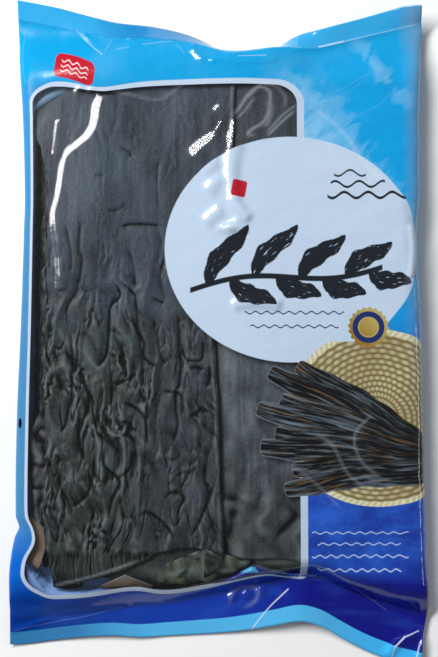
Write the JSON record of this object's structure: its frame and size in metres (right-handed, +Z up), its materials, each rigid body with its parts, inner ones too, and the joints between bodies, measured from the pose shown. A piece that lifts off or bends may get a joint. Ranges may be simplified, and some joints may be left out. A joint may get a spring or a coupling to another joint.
{
  "type": "sealed pack of dried kelp sheets",
  "caption": "Flat pillow pack of dried kelp sheets lying on its back, with a clear window over the dark wrinkled blades and a flat seal along the top and the bottom.",
  "frame": {"origin": "on the surface the pack lies on, under the middle of its bounding box", "axes": "+Y towards the top seal, along the pack's length; +X to the right across its width with the window side up; +Z up through its thickness"},
  "size_m": [0.2616, 0.4246, 0.0203],
  "materials": {
    "film": "glossy printed clear film"
  },
  "bodies": {
    "root": {"kelp_pack": "film"}
  },
  "joints": []
}
